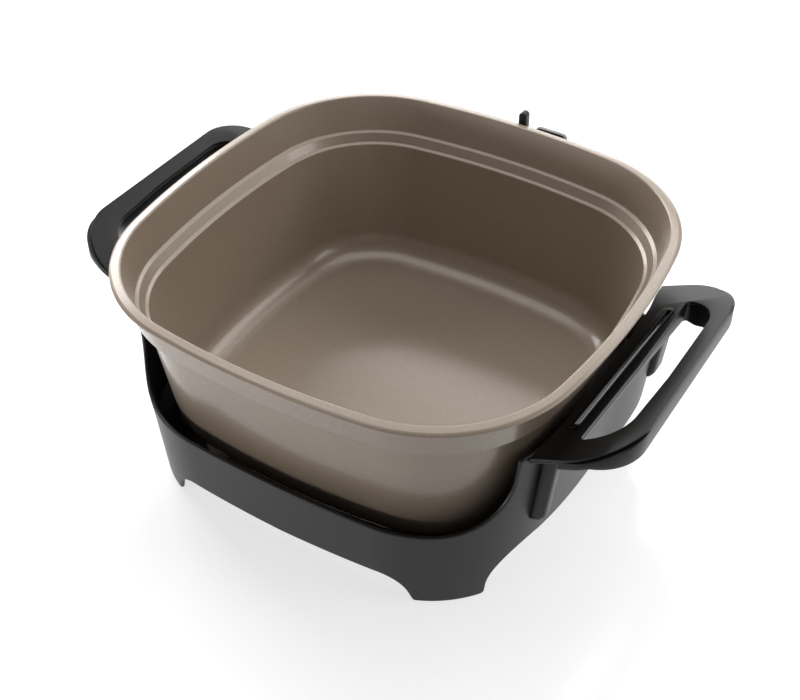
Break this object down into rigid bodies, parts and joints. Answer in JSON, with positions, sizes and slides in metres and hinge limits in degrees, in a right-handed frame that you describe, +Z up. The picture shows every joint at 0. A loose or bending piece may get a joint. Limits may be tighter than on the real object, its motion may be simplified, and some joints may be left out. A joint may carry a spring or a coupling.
{
  "type": "electric roaster",
  "caption": "Electric roaster: square lift-out pot with rounded corners in a black legged base with two sloping loop handles and a rear lid hinge.",
  "frame": {"origin": "on the table under the middle of the object's box", "axes": "+X towards the right handle, +Y towards the rear hinge, +Z up"},
  "size_m": [0.376, 0.3174, 0.1584],
  "materials": {
    "pot_coating": "satin taupe non-stick coating on die-cast aluminium",
    "base_plastic": "fine-textured black moulded plastic",
    "handle_plastic": "satin black moulded plastic",
    "leaf_metal": "grey plated steel",
    "heater_steel": "heat-darkened steel tube",
    "bright_steel": "bright steel",
    "screw_steel": "zinc-plated steel",
    "sheet_metal": "rolled aluminium sheet",
    "ceramic": "unglazed ceramic",
    "silicone": "matte heat-proof silicone",
    "foot_rubber": "matte rubber"
  },
  "bodies": {
    "base": {"base_frame": "base_plastic", "port_trim": "base_plastic", "heat_shield": "sheet_metal", "shield_screws": "screw_steel", "rest_pads": "silicone", "foot_pads": "foot_rubber", "handle_right": "handle_plastic", "handle_left": "handle_plastic", "grip_shell_right": "handle_plastic", "grip_shell_left": "handle_plastic", "handle_bolts": "screw_steel", "grip_screws": "screw_steel", "hinge_bracket": "base_plastic", "hinge_screws": "screw_steel", "hinge_pin": "bright_steel", "pin_clip": "screw_steel"},
    "pot": {"pot": "pot_coating", "heating_element": "heater_steel", "terminal_pins": "bright_steel", "terminal_bushes": "ceramic", "terminal_guard": "sheet_metal", "guard_screws": "screw_steel", "probe_sleeve": "bright_steel"},
    "leaf": {"hinge_leaf": "leaf_metal"}
  },
  "joints": [
    {"name": "pot_lift", "type": "slide", "parent": "base", "child": "pot", "axis": [0, 0, 1], "range_m": [0, 0.16]},
    {"name": "lid_hinge", "type": "hinge", "parent": "base", "child": "leaf", "pos_m": [0.0211, 0.15325, 0.132], "axis": [-1, 0, 0], "range_deg": [0, 100]}
  ]
}
